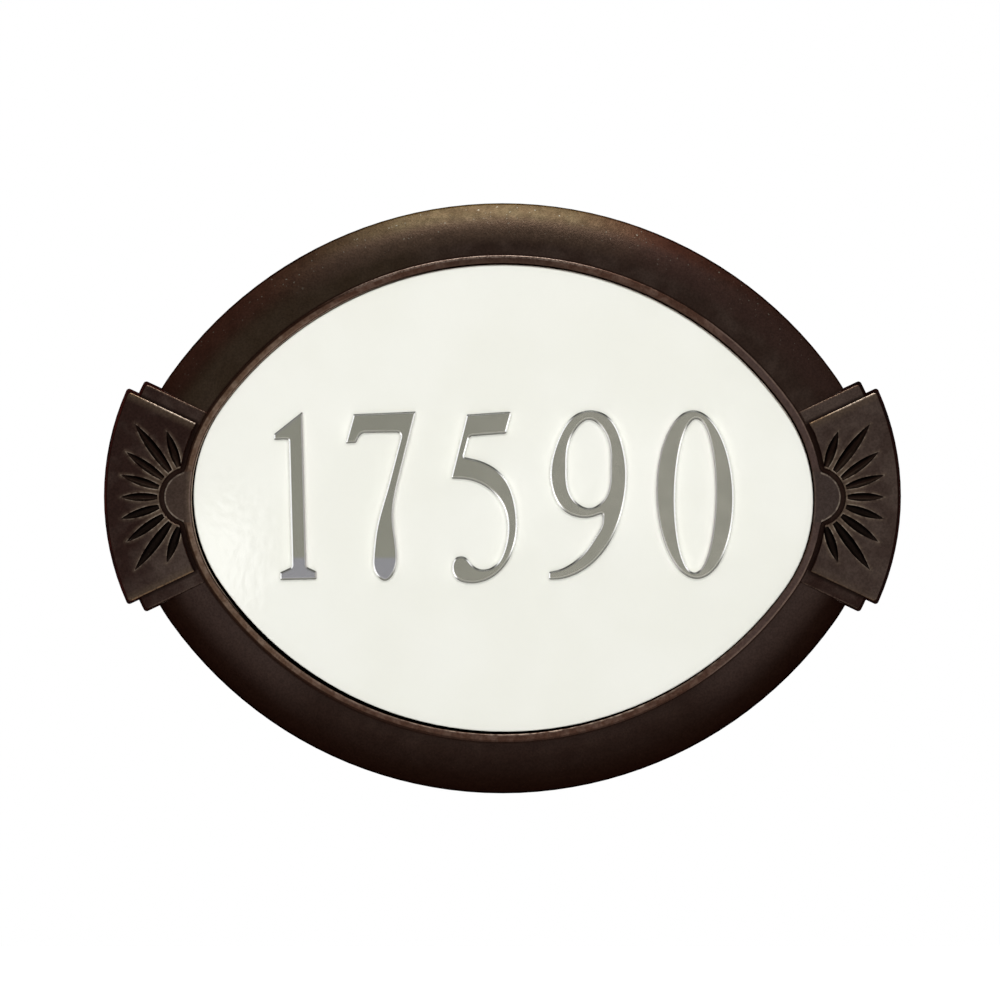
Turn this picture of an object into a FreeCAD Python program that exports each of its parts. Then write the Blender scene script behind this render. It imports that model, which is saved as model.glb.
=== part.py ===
import FreeCAD, Part
import math
import os

from FreeCAD import Vector

# House number plaque: an oval cast surround with a sunburst ear at each side, an enamelled plate
# glued into its recess, and five polished metal figures glued to the plate.
#
# Everything is drawn lying on its back: X to the right, Y up the wall, Z out of the wall towards the
# viewer. write_node() then stands each piece up, with its front towards -Y and +Z up. The origin is
# the middle of the back of the casting, in the plane of the wall.

# The plate's outline is an oval of four tangent arcs, two short ones at the sides and two long ones
# above and below. Every other oval on the plaque keeps its distance from that line, the "offset".
side_centre = 70.7         # from the middle to the centre of each side arc
long_centre = 50.4         # from the middle to the centre of each long arc, on the far side
side_radius = 68.1         # side arcs of the plate

# The plate lies a little askew in its recess, as it was glued in by hand
plate_thickness = 2.5
plate_edge_round = 0.6
plate_askew = 0.42         # how far turning moves the plate's edge at most
plate_shift_right = 0.4
plate_shift_up = 0.1
plate_clearance = 0.15     # gap left where the plate comes nearest to the wall of the recess
tape_thickness = 1.0
tape_inset = 3.0           # plate edge to the outer edge of the tape
tape_width = 16.0

# Casting, from the wall outwards
floor_height = 12.5        # floor of the recess above the wall
floor_web = 3.0
wall = 3.0
lip_width = 3.6
lip_stand = 2.4            # lip above the face of the plate
lip_round = 0.6
ring_width = 28.2          # plate edge to the outside of the moulding
ring_below_lip = 2.1
ring_fall = 10.5           # fall of the moulding's crown over its width
ring_edge_round = 3.0

# Ears: a front block on a wider back block, both fanning out from the side arc's centre
ear_lift = 0.9             # the ears' centre line above the oval's
ear_angle = 25.2           # slope of each side edge from the ear's centre line
ear_half_width = 1.5       # front block's side edge at the side arc's centre
ear_step = 6.4             # back block's side edge beyond the front block's
back_rise = 0.7            # back block above the moulding's crown
front_rise = 2.4           # front block above the back block
back_overhang = 6.9        # back block beyond the moulding
front_overhang = 5.6       # front block beyond the back block
end_flattening = 8.5       # outer ends follow arcs centred this far inside the side arc's centre
side_draft = 3.2           # lean of the side edges, in degrees
end_draft = 7.0            # lean of the outer end
ear_corner_round = 1.5
ear_edge_round = 0.5

# Sunburst carved in each ear
sun_radius = 11.4
sun_offset = 1.4           # the sun's centre outside the plate's edge
sun_blend = 4.0
groove_width = 2.0
ray_step = 17.8            # angle from one ray to the next
ray_land = 0.8             # from the groove to the blunt end of a ray
ray_lengths = [16.6, 17.9, 20.5, 26.6, 16.9]   # middle ray first, then each pair outwards
ray_widths = [3.8, 3.8, 4.0, 4.6, 4.2]
ray_crest = 0.42           # where a ray is widest, as a share of its length
ray_blunt = 0.5            # width of its blunt end, as a share of its widest

# Back of the casting
boss_span_x = 180.0
boss_span_y = 120.0
boss_radius = 5.5
boss_draft = 0.5           # growth of the boss's radius towards its root
boss_bottom = 2.0          # metal left in front of a tapped hole
rib_depth = 3.0
rib_width = 3.0

# Studs: a thread screwed into each boss until it bottoms out, and a thinner shank for the wall
thread_radius = 2.5
thread_clearance = 0.1
shank_radius = 2.0
shank_reach = 32.0         # beyond the back of the casting
stud_point = 0.6

# Figures
figure_height = 75.4
figure_thickness = 2.8
figure_edge_round = 1.2
figure_baseline = -36.2    # below the middle of the plaque
pad_thickness = 0.5
pad_inset = 1.4
one_middle = -92.6         # middle of each figure across the plate
seven_middle = -54.6
five_middle = -8.1
nine_middle = 38.3
zero_middle = 86.6
one_lean = 1.4             # the one stands a little askew, in degrees

# Derived lines and heights
long_radius = side_radius + math.hypot(side_centre, long_centre)
junction = math.degrees(math.atan2(long_centre, side_centre))
half_length = side_centre + side_radius
half_height = long_radius - long_centre
recess_gap = plate_askew + math.hypot(plate_shift_right, plate_shift_up) + plate_clearance
lip_outside = recess_gap + lip_width
plate_turn = -math.degrees(plate_askew / (half_length - half_height))
floor_back = floor_height - floor_web
plate_back = floor_height + tape_thickness
plate_face = plate_back + plate_thickness
lip_top = plate_face + lip_stand
ring_top = lip_top - ring_below_lip
back_top = ring_top + back_rise
front_top = back_top + front_rise
back_outside = ring_width + back_overhang
front_outside = back_outside + front_overhang
pocket_top = back_top - wall
sun_centre = half_length + sun_offset
figure_unit = figure_height / 100

UP = Vector(0, 0, 1)
RIGHT = Vector(1, 0, 0)
MIDDLE = Vector(0, 0, 0)
quarter_turn = 90
close_by = 0.001           # points nearer than this count as one

# Figure outlines in hundredths of the figure's height, from its middle and its baseline. A corner is
# (x, y, rounding), and a list of points is a smooth curve through them.
ONE = [
    (5.5, 100, 0.6), (5.5, 7.6, 2.0), (11.4, 4.6, 1.2), (11.4, 0, 1.2), (-10.7, 0, 1.2),
    (-10.7, 4.6, 1.2), (-3.5, 7.6, 2.0), (-3.5, 83.4, 1.0), (-12.3, 83.4, 1.2), (-12.3, 86.6, 1.2),
]
SEVEN = [
    (-16.2, 98.4, 0.8), (21.4, 100, 0.8),
    [(12.6, 65.0), (9.0, 49.5), (7.8, 36.0), (8.9, 26.0), (10.0, 15.5), (8.4, 5.0), (3.0, -0.5),
     (-2.8, 3.2), (-4.6, 14.4), (-2.6, 31.0), (4.6, 57.6)],
    (12.4, 87.5, 2.2), (-11.6, 87.2, 4.5), (-14.6, 81.2, 1.5), (-21.0, 81.0, 0.8),
]
FIVE = [
    (-10.7, 98.2, 1.5), (16.6, 100, 1.6), (13.0, 86.8, 1.6), (-8.6, 85.2, 2.0), (-11.9, 72.9, 0.8),
    [(-6.8, 71.8), (3.0, 68.3), (13.0, 59.5), (18.7, 44.4), (19.2, 26.0), (11.1, 7.1), (0.5, -0.6),
     (-9.0, -2.0), (-16.8, 0.8), (-19.3, 6.6), (-16.8, 13.2), (-11.8, 13.6), (-6.8, 8.7),
     (-1.5, 6.2), (5.7, 8.3), (11.4, 17.5), (13.6, 28.9), (11.1, 43.6), (2.0, 54.4),
     (-10.0, 59.5), (-16.0, 60.0)],
    (-20.2, 60.1, 1.5),
]
NINE = [
    (-23.6, 0.1, 1.6),
    [(-19.0, 0.2), (-11.0, 1.8), (0.8, 8.2), (13.2, 22.7), (21.2, 44.0), (23.2, 63.0), (20.2, 82.5),
     (12.0, 97.0), (1.6, 100.7), (-8.3, 97.6), (-17.8, 84.0), (-22.6, 65.0), (-21.2, 52.5),
     (-14.0, 40.8), (-5.0, 37.0), (4.2, 37.8)],
    (8.6, 39.4, 0.8),
    [(8.4, 34.8), (5.0, 27.0), (-4.0, 14.6), (-13.0, 7.9), (-19.0, 5.6)],
    (-23.6, 4.7, 1.6),
]
NINE_COUNTER = [
    (-12.4, 66.5), (-8.6, 87.0), (0.6, 95.0), (10.0, 87.0), (13.1, 66.5), (10.0, 49.0),
    (1.2, 42.7), (-8.6, 48.2),
]
# Each outline of the zero is an ellipse: middle x and y, half width, half height and turn in degrees
ZERO_OUTSIDE = (-0.5, 50.6, 23.2, 50.1, 1.7)
ZERO_COUNTER = (-0.3, 49.9, 11.7, 45.5, -0.7)


def at(x, y, z=0.0):
    return Vector(x, y, z)


def corner_arc(before, corner, after, rounding):
    """Start, middle and end of the arc that rounds a corner between two straight lines."""
    to_before = (before - corner).normalize()
    to_after = (after - corner).normalize()
    half_angle = to_before.getAngle(to_after) / 2
    bisector = (to_before + to_after).normalize()
    run = rounding / math.tan(half_angle)
    middle = corner + bisector * (rounding / math.sin(half_angle) - rounding)
    return corner + to_before * run, middle, corner + to_after * run


def smooth_edges(points, start_direction, end_direction):
    """Smooth curve through the points, with the given directions at its ends, cut at each point."""
    curve = Part.BSplineCurve()
    curve.interpolate(
        Points=points,
        InitialTangent=start_direction.normalize(),
        FinalTangent=end_direction.normalize(),
        Scale=False,
    )
    knots = curve.getKnots()
    return [curve.toShape(first, last) for first, last in zip(knots, knots[1:])]


def outline(items, scale=1.0):
    """Closed wire through rounded corners, arcs of three points and smooth curves of more."""
    stretches = []
    for item in items:
        points = item if isinstance(item, list) else [item]
        stretches.append([at(point[0] * scale, point[1] * scale) for point in points])
    edges = []
    ends = []
    for index, points in enumerate(stretches):
        before = stretches[index - 1][-1]
        after = stretches[(index + 1) % len(stretches)][0]
        if len(points) > 3:
            pieces = smooth_edges(points, points[0] - before, after - points[-1])
        elif len(points) == 3:
            pieces = [Part.Arc(*points).toShape()]
        elif items[index][2] > 0:
            points = corner_arc(before, points[0], after, items[index][2] * scale)
            pieces = [Part.Arc(*points).toShape()]
        else:
            pieces = []
        ends.append((points[0], points[-1], pieces))
    for index, (start, end, pieces) in enumerate(ends):
        previous_end = ends[index - 1][1]
        if previous_end.distanceToPoint(start) > close_by:
            edges.append(Part.makeLine(previous_end, start))
        edges += pieces
    return Part.Wire(edges)


def turned(section, radius, centre, start, sweep):
    """Solid swept by a section, drawn as offset and height, round an arc of the oval."""
    face = Part.Face(section)
    face.rotate(MIDDLE, RIGHT, quarter_turn)
    face.translate(at(radius, 0))
    solid = face.revolve(MIDDLE, UP, sweep)
    solid.rotate(MIDDLE, UP, start)
    solid.translate(centre)
    return solid


def oval_face(offset):
    """Flat face inside the oval that keeps the given offset from the plate's outline."""
    arcs = []
    for centre, radius, middle_angle, half_sweep in oval_arcs():
        points = []
        for angle in (middle_angle - half_sweep, middle_angle, middle_angle + half_sweep):
            reach = radius + offset
            points.append(centre + at(reach * cosine(angle), reach * sine(angle)))
        arcs.append(Part.Arc(*points).toShape())
    return Part.Face(Part.Wire(arcs))


def oval_arcs():
    """Centre, radius, middle angle and half sweep of the oval's four arcs."""
    return [
        (at(side_centre, 0), side_radius, 0, junction),
        (at(0, -long_centre), long_radius, quarter_turn, quarter_turn - junction),
        (at(-side_centre, 0), side_radius, 2 * quarter_turn, junction),
        (at(0, long_centre), long_radius, 3 * quarter_turn, quarter_turn - junction),
    ]


def sine(angle):
    return math.sin(math.radians(angle))


def cosine(angle):
    return math.cos(math.radians(angle))


def slab(face, bottom, top):
    solid = face.extrude(UP * (top - bottom))
    solid.translate(UP * bottom)
    return solid


def beyond(point, normal):
    """A disc far larger than the plaque, standing on the given plane."""
    reach = 4 * front_outside + 4 * half_length
    return Part.makeCylinder(reach, reach, point, normal)


def top_edges(solid, height):
    return [edge for edge in solid.Edges if abs(edge.BoundBox.ZMin - height) < close_by]


def ring_section():
    """Recess wall and crowned moulding, with a hollow of even wall behind it."""
    lip_middle = (recess_gap + lip_outside) / 2
    crown = ring_width - lip_outside
    crown_radius = (crown ** 2 + ring_fall ** 2) / (2 * ring_fall)
    crown_centre = at(lip_outside, ring_top - crown_radius)
    edge_run = crown - ring_edge_round
    edge_drop = math.sqrt((crown_radius - ring_edge_round) ** 2 - edge_run ** 2)
    edge_centre = crown_centre + at(edge_run, edge_drop)
    slope = math.degrees(math.atan2(edge_run, edge_drop))

    def on_arc(centre, radius, lean):
        return centre + at(radius * sine(lean), radius * cosine(lean))

    hollow_radius = crown_radius - wall
    hollow_lean = math.degrees(math.asin((crown - wall) / hollow_radius))
    front = [on_arc(crown_centre, crown_radius, lean) for lean in (0, slope / 2, slope)]
    edge_leans = (slope, (slope + quarter_turn) / 2, quarter_turn)
    edge = [on_arc(edge_centre, ring_edge_round, lean) for lean in edge_leans]
    hollow = [on_arc(crown_centre, hollow_radius, lean) for lean in (hollow_lean, hollow_lean / 2, 0)]
    return outline([
        (recess_gap, floor_back, 0),
        (recess_gap, floor_height, 0),
        (lip_middle, floor_height, 0),
        (lip_middle, ring_top, 0),
        front,
        edge,
        (ring_width, 0, 0),
        (ring_width - wall, 0, 0),
        hollow,
        (lip_outside, floor_back, 0),
    ])


def ring():
    section = ring_section()
    solids = []
    for centre, radius, middle_angle, half_sweep in oval_arcs():
        solids.append(turned(section, radius, centre, middle_angle - half_sweep, 2 * half_sweep))
    return solids


def fan(inside, outside, half_width, top):
    """Block that fans out beside the oval on the right, with drafted sides and outer end."""
    lean = top * math.tan(math.radians(end_draft))
    start = -end_flattening
    section = outline([(start, 0, 0), (outside, 0, 0), (outside - lean, top, 0), (start, top, 0)])
    end_centre = at(side_centre - end_flattening, ear_lift)
    end_radius = side_radius + end_flattening
    half_sweep = 2 * ear_angle
    block = turned(section, end_radius, end_centre, -half_sweep, 2 * half_sweep)
    for side in (-1, 1):
        across = at(-sine(ear_angle), side * cosine(ear_angle))
        on_side = at(side_centre, ear_lift, top) + across * half_width
        block = block.cut(beyond(on_side, across * cosine(side_draft) + UP * sine(side_draft)))
    return block.cut(slab(oval_face(inside), 0, top))


def round_corners(block, outside, top):
    """Round the two upright corners at the outer end of an ear block."""
    corners = []
    for edge in block.Edges:
        box = edge.BoundBox
        out = math.hypot(edge.CenterOfMass.x - side_centre, edge.CenterOfMass.y)
        if box.ZLength > top / 2 and out > side_radius + outside / 2:
            corners.append(edge)
    return block.makeFillet(ear_corner_round, corners)


def bow(*poles):
    curve = Part.BezierCurve()
    curve.setPoles([at(x, y) for x, y in poles])
    return curve.toShape()


def ray_gouge(length, width):
    """Leaf-shaped tool lying along X from its blunt end at the origin, turned about its length."""
    crest = length * ray_crest
    half_width = width / 2
    blunt = half_width * ray_blunt
    profile = Part.Wire([
        Part.makeLine(at(0, 0), at(0, blunt)),
        bow((0, blunt), (crest / 2, half_width), (crest, half_width)),
        bow((crest, half_width), ((crest + length) / 2, half_width), (length, 0)),
        Part.makeLine(at(length, 0), at(0, 0)),
    ])
    return Part.Face(profile).revolve(MIDDLE, RIGHT, 360)


def front_block():
    """Upper block of the right ear, cut back round the sun and gouged with nine rays."""
    inside = lip_outside + groove_width
    block = fan(inside, front_outside, ear_half_width, front_top)
    block = round_corners(block, front_outside, front_top)
    groove = Part.makeCylinder(sun_radius + groove_width, front_top, at(sun_centre, ear_lift), UP)
    block = block.cut(groove)
    block = block.makeFillet(ear_edge_round, top_edges(block, front_top))
    ray_start = sun_radius + groove_width + ray_land
    last = len(ray_lengths) - 1
    for place in range(-last, last + 1):
        gouge = ray_gouge(ray_lengths[abs(place)], ray_widths[abs(place)])
        gouge.translate(at(ray_start, 0))
        gouge.rotate(MIDDLE, UP, place * ray_step)
        gouge.translate(at(sun_centre, ear_lift, front_top))
        block = block.cut(gouge)
    return block


def back_block():
    """Lower, wider block of the right ear, from the lip out past the moulding."""
    block = fan(lip_outside - lip_width / 2, back_outside, ear_half_width + ear_step, back_top)
    block = round_corners(block, back_outside, back_top)
    edges = []
    for edge in top_edges(block, back_top):
        if edge.CenterOfMass.x > side_centre + side_radius + lip_outside:
            edges.append(edge)
    return block.makeFillet(ear_edge_round, edges)


def lip_and_suns():
    """Raised lip round the recess, with the half disc of a sun growing out of it at each side."""
    disc = Part.Face(Part.Wire(Part.makeCircle(sun_radius, at(sun_centre, ear_lift))))
    face = oval_face(lip_outside).multiFuse([disc, mirrored(disc)]).cut(oval_face(recess_gap))
    solid = slab(face.removeSplitter().Faces[0], floor_height, lip_top)
    corners = []
    for edge in solid.Edges:
        box = edge.BoundBox
        upright = box.XLength < close_by and box.YLength < close_by
        from_sun = math.hypot(abs(box.Center.x) - sun_centre, box.Center.y - ear_lift)
        if upright and abs(box.Center.y) > close_by and abs(from_sun - sun_radius) < close_by:
            corners.append(edge)
    solid = solid.makeFillet(sun_blend, corners)
    return solid.makeFillet(lip_round, top_edges(solid, lip_top))


def ear_pocket():
    """Hollow behind the right ear, of the same even wall as the moulding."""
    back = fan(lip_outside, back_outside - wall, ear_half_width + ear_step - wall, pocket_top)
    front = fan(lip_outside, front_outside - wall, ear_half_width - wall, pocket_top)
    return back.fuse(front)


def mirrored(shape):
    return shape.mirror(MIDDLE, RIGHT)


def boss_spots():
    return [
        at(x * boss_span_x / 2, y * boss_span_y / 2)
        for x in (-1, 1) for y in (-1, 1)
    ]


def boss_and_rib_solids():
    solids = []
    root = floor_back + floor_web / 2
    for spot in boss_spots():
        solids.append(Part.makeCone(boss_radius, boss_radius + boss_draft, root, spot))
    for side in (-1, 1):
        level = at(-half_length, side * boss_span_y / 2 - rib_width / 2, floor_back - rib_depth)
        solids.append(Part.makeBox(2 * half_length, rib_width, rib_depth, level))
        upright = at(side * boss_span_x / 2 - rib_width / 2, -half_height, floor_back - rib_depth)
        solids.append(Part.makeBox(rib_width, 2 * half_height, rib_depth, upright))
    inside = slab(oval_face(recess_gap + lip_width / 2), 0, floor_height)
    return [solid.common(inside) for solid in solids]


def surround():
    floor = slab(oval_face(recess_gap), floor_back, floor_height)
    solids = ring() + [floor, lip_and_suns()]
    for piece in (back_block(), front_block()):
        solids += [piece, mirrored(piece)]
    casting = solids[0].multiFuse(solids[1:])
    pocket = ear_pocket()
    under_floor = slab(oval_face(lip_outside), 0, floor_back)
    casting = casting.cut([pocket, mirrored(pocket), under_floor])
    casting = casting.multiFuse(boss_and_rib_solids())
    holes = []
    for spot in boss_spots():
        depth = floor_height - boss_bottom
        holes.append(Part.makeCylinder(thread_radius + thread_clearance, depth, spot, UP))
    return casting.cut(holes).removeSplitter()


def lay_askew(shape):
    shape.rotate(MIDDLE, UP, plate_turn)
    shape.translate(at(plate_shift_right, plate_shift_up))
    return shape


def face_plate():
    plate = slab(oval_face(0), plate_back, plate_face)
    plate = plate.makeFillet(plate_edge_round, top_edges(plate, plate_face))
    return lay_askew(plate)


def plate_tape():
    band = oval_face(-tape_inset).cut(oval_face(-tape_inset - tape_width))
    return lay_askew(slab(band, floor_height, plate_back))


def closed_curve(points):
    """Smooth closed wire through points of the figures' grid."""
    loop = [at(x * figure_unit, y * figure_unit) for x, y in points]
    direction = loop[1] - loop[-1]
    return Part.Wire(smooth_edges(loop + [loop[0]], direction, direction))


def ellipse(middle_x, middle_y, half_wide, half_tall, turn):
    """Closed wire of an upright ellipse on the figures' grid, turned a little."""
    curve = Part.Ellipse(MIDDLE, half_tall * figure_unit, half_wide * figure_unit)
    wire = Part.Wire(curve.toShape())
    wire.rotate(MIDDLE, UP, quarter_turn + turn)
    wire.translate(at(middle_x * figure_unit, middle_y * figure_unit))
    return wire


def holed_face(outside, hole):
    return Part.Face(outside).cut(Part.Face(hole)).Faces[0]


def figure_faces():
    """Flat shape of each figure, its middle and its turn, from left to right."""
    one = Part.Face(outline(ONE, figure_unit))
    seven = Part.Face(outline(SEVEN, figure_unit))
    five = Part.Face(outline(FIVE, figure_unit))
    nine = holed_face(outline(NINE, figure_unit), closed_curve(NINE_COUNTER))
    zero = holed_face(ellipse(*ZERO_OUTSIDE), ellipse(*ZERO_COUNTER))
    return [
        ("one", one, one_middle, one_lean),
        ("seven", seven, seven_middle, 0.0),
        ("five", five, five_middle, 0.0),
        ("nine", nine, nine_middle, 0.0),
        ("zero", zero, zero_middle, 0.0),
    ]


def figure_and_pad(face, middle, turn):
    """A figure with a rounded front edge, and the adhesive pad under it."""
    outlines = [wire.toNurbs().Wires[0] for wire in face.makeOffset2D(-pad_inset).Wires]
    pad_face = holed_face(outlines[0], outlines[1]) if len(outlines) > 1 else Part.Face(outlines[0])
    pad = slab(pad_face, plate_face, plate_face + pad_thickness)
    back = plate_face + pad_thickness
    front = back + figure_thickness
    figure = slab(face, back, front)
    figure = figure.makeFillet(figure_edge_round, top_edges(figure, front))
    for shape in (figure, pad):
        shape.rotate(at(0, figure_height / 2), UP, turn)
        shape.translate(at(middle, figure_baseline))
    return figure, pad


def mounting_studs():
    """Four studs, each threaded into its boss and standing out behind the casting."""
    studs = []
    for spot in boss_spots():
        thread = Part.makeCylinder(thread_radius, floor_height - boss_bottom, spot, UP)
        shank = Part.makeCylinder(shank_radius, shank_reach, spot, UP * -1)
        stud = thread.fuse(shank)
        ends = []
        for edge in stud.Edges:
            if isinstance(edge.Curve, Part.Circle) and abs(edge.CenterOfMass.z) > close_by:
                ends.append(edge)
        studs.append(stud.makeChamfer(stud_point, ends))
    return Part.makeCompound(studs)


def write_node(name, shape):
    """Stand the shape up on the wall, front towards -Y, and write it."""
    standing = shape.copy()
    standing.rotate(MIDDLE, RIGHT, quarter_turn)
    if len(standing.Solids) == 1:
        standing = standing.Solids[0]
    standing.exportStep("parts/" + name + ".step")
    print(name, "solids", len(standing.Solids), "valid", standing.isValid(),
          "volume", round(standing.Volume), "faces", len(standing.Faces))


os.makedirs("parts", exist_ok=True)
write_node("surround", surround())
write_node("face_plate", face_plate())
write_node("plate_tape", plate_tape())
write_node("mounting_studs", mounting_studs())
for name, face, middle, turn in figure_faces():
    figure, pad = figure_and_pad(face, middle, turn)
    write_node("numeral_" + name, figure)
    write_node("pad_" + name, pad)
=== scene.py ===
# %% [markdown]
# # House number plaque
#
# An oval cast surround with a sunburst carved in each ear, an ivory enamelled plate in its recess and
# five metal figures glued to the plate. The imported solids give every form, down to the rays, so nothing
# is modelled again here. What a solid can't say is what it is made of: this script gives each piece its
# surface, and then sets up the light, the floor and the camera of a head-on product picture.
#
# The frame is in metres: X to the right, Y into the wall, Z up. The front faces -Y, and the plane
# Y = 0 is the wall.

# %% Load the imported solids
import math

import bpy
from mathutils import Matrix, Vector

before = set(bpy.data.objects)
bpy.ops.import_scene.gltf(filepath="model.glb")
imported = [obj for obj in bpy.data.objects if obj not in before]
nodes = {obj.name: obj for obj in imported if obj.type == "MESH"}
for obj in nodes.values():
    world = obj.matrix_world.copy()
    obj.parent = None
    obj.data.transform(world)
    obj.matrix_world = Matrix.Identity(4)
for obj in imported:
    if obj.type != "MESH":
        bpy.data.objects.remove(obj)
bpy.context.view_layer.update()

print("nodes:", sorted(nodes))

# %% [markdown]
# ## Numbers that change over a surface
#
# On the real plaque colour and gloss change from place to place: darker in a groove, brighter along an
# edge. In Blender such a number comes out of a node, and placing a Math node for each sum by hand soon
# gives a web that nobody can read. The class below wraps a node's output, so that a Python expression
# such as 1 - mask adds the Math nodes by itself, and a finish reads as a few sums.

# %% A node's output that can be calculated with
class Value:
    """A number, colour or direction that changes over a surface. Arithmetic on it adds Math nodes."""

    def __init__(self, recipe, socket):
        self.recipe = recipe
        self.socket = socket

    def __add__(self, other):
        return self.recipe.math("ADD", self, other)

    def __radd__(self, other):
        return self.recipe.math("ADD", other, self)

    def __sub__(self, other):
        return self.recipe.math("SUBTRACT", self, other)

    def __rsub__(self, other):
        return self.recipe.math("SUBTRACT", other, self)

    def __mul__(self, other):
        return self.recipe.math("MULTIPLY", self, other)

    def __rmul__(self, other):
        return self.recipe.math("MULTIPLY", other, self)

    def __truediv__(self, other):
        return self.recipe.math("DIVIDE", self, other)

    def __pow__(self, other):
        return self.recipe.math("POWER", self, other)

    def __neg__(self):
        return self.recipe.math("MULTIPLY", self, -1.0)

    def __abs__(self):
        return self.recipe.math("ABSOLUTE", self)

    def __gt__(self, other):
        return self.recipe.math("GREATER_THAN", self, other)

    def __lt__(self, other):
        return self.recipe.math("LESS_THAN", self, other)

    def at_least(self, other):
        """The larger of the two. Of two masks, it is where either one holds."""
        return self.recipe.math("MAXIMUM", self, other)

    def at_most(self, other):
        return self.recipe.math("MINIMUM", self, other)

    def root(self):
        return self.recipe.math("SQRT", self)

    def between(self, at_none, at_full):
        """The first number where this value is 0, the second where it is 1, even between."""
        return at_none + (at_full - at_none) * self

    def ramp(self, start, end):
        """0 at start and 1 at end, smooth between; start may be the larger of the two."""
        low, high = (start, end) if start < end else (end, start)
        ends = (0.0, 1.0) if start < end else (1.0, 0.0)
        return self.recipe.add(
            "ShaderNodeMapRange",
            {"interpolation_type": "SMOOTHSTEP"},
            {"Value": self, "From Min": low, "From Max": high, "To Min": ends[0], "To Max": ends[1]},
        )

    def part(self, name):
        """Another output of the node that this value comes out of."""
        return Value(self.recipe, self.socket.node.outputs[name])


print("values can be added, multiplied, compared and ramped")

# %% [markdown]
# ## Adding nodes
#
# Materials and the world both keep their nodes in a node tree. Every node here comes from the one
# method `add`: its type, then its settings, then what goes into its sockets, which is a number, a
# colour or another value. The settings come first, because some of them change the sockets.

# %% One way to add a node
class Recipe:
    """A node tree, and the ways to add nodes to it."""

    def __init__(self, tree):
        self.tree = tree

    def add(self, kind, settings, inputs, output=0):
        made = self.tree.nodes.new(kind)
        for name, value in settings.items():
            setattr(made, name, value)
        for name, value in inputs.items():
            self.put(made.inputs[name], value)
        return Value(self, made.outputs[output])

    def put(self, socket, value):
        if isinstance(value, Value):
            self.tree.links.new(value.socket, socket)
        elif socket.type == "RGBA":
            socket.default_value = (*value, 1.0)
        else:
            socket.default_value = value

    def math(self, operation, *operands):
        return self.add("ShaderNodeMath", {"operation": operation}, dict(enumerate(operands)))


print("recipes are ready for materials and for the world")

# %% [markdown]
# ## A finish
#
# Each real finish is one material. Its nodes need to know where a point lies on the plaque and which
# way the surface faces there. An unwrapped mesh and a painted picture could say so too, but the
# object's own coordinates need no picture, stay sharp in a close view, and can be compared with the
# casting's measurements once they are in millimetres.

# %% Where a point lies, and which way it faces
MM_PER_METRE = 1000.0


class Paint(Recipe):
    """One material, with the places and directions that its finish is worked out from."""

    def __init__(self, name):
        self.material = bpy.data.materials.new(name)
        self.material.use_nodes = True
        super().__init__(self.material.node_tree)
        self.shader = self.tree.nodes["Principled BSDF"]
        place = self.add("ShaderNodeTexCoord", {}, {}, "Object")
        self.place = self.add(
            "ShaderNodeVectorMath", {"operation": "SCALE"}, {0: place, "Scale": MM_PER_METRE}, "Vector"
        )
        along = self.add("ShaderNodeSeparateXYZ", {}, {0: self.place})
        self.x, self.out, self.z = along.part("X"), -along.part("Y"), along.part("Z")
        normal = self.add("ShaderNodeNewGeometry", {}, {}, "Normal")
        facing = self.add("ShaderNodeSeparateXYZ", {}, {0: normal})
        self.sideways, self.forward = facing.part("X"), -facing.part("Y")
        self.upward = facing.part("Z")

    def noise(self, size, detail=2.0):
        """Soft noise round 0.5, in patches of about the given size in millimetres."""
        inputs = {"Vector": self.place, "Scale": 1 / size, "Detail": detail}
        return self.add("ShaderNodeTexNoise", {}, inputs, "Fac")

    def mix(self, colour, other, share, most=1.0):
        """The first colour turned into the other one by the share, but never further than most."""
        inputs = {0: share * most, 6: colour, 7: other}
        return self.add("ShaderNodeMix", {"data_type": "RGBA"}, inputs, 2)

    def bump(self, height, strength, distance):
        inputs = {"Strength": strength, "Distance": distance, "Height": height}
        return self.add("ShaderNodeBump", {}, inputs, "Normal")

    def finish(self, **sockets):
        for name, value in sockets.items():
            self.put(self.shader.inputs[name.replace("_", " ")], value)
        return self.material


def wear(node_name, material):
    nodes[node_name].data.materials.clear()
    nodes[node_name].data.materials.append(material)
    print(node_name, "wears", material.name)


print("a paint measures in millimetres:", MM_PER_METRE, "to the metre")

# %% [markdown]
# ## The oval's lines
#
# The real oval is four arcs that run into each other, and the casting's ring, lip and recess keep even
# distances from it. Wear and dirt follow these edges. The distance from the plate's edge could be baked
# into vertex colours, but the mesh has few points on its flat parts. Worked out at each point from the
# arcs' centres, it is exact everywhere.

# %% How far out from the plate
SIDE_CENTRE = 70.7
LONG_CENTRE = 50.4
SIDE_RADIUS = 68.1
LONG_RADIUS = SIDE_RADIUS + math.hypot(SIDE_CENTRE, LONG_CENTRE)


def from_plate_edge(paint):
    """How far a point lies outside the oval of the plate; less than 0 on the plate."""
    across = abs(paint.x)
    up = abs(paint.z)
    beyond_centre = across - SIDE_CENTRE
    to_side = (beyond_centre ** 2 + up ** 2).root() - SIDE_RADIUS
    to_long = (across ** 2 + (up + LONG_CENTRE) ** 2).root() - LONG_RADIUS
    at_side = beyond_centre * (LONG_CENTRE / SIDE_CENTRE) > up
    return to_long + at_side * (to_side - to_long)


print("the oval's arcs have radii of", SIDE_RADIUS, "and", round(LONG_RADIUS, 2), "mm")

# %% [markdown]
# ## The ears' lines
#
# Each ear is a front block on a wider back block, both cut off along two lines that fan out from the
# oval, with a half-disc sun against the lip. A mask from the height of a point alone would find the
# blocks' tops but not their edges, where the coating is worn. The distance from the fanning lines and
# from the sun's centre finds these too, and one formula serves both ears through abs(x).

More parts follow.
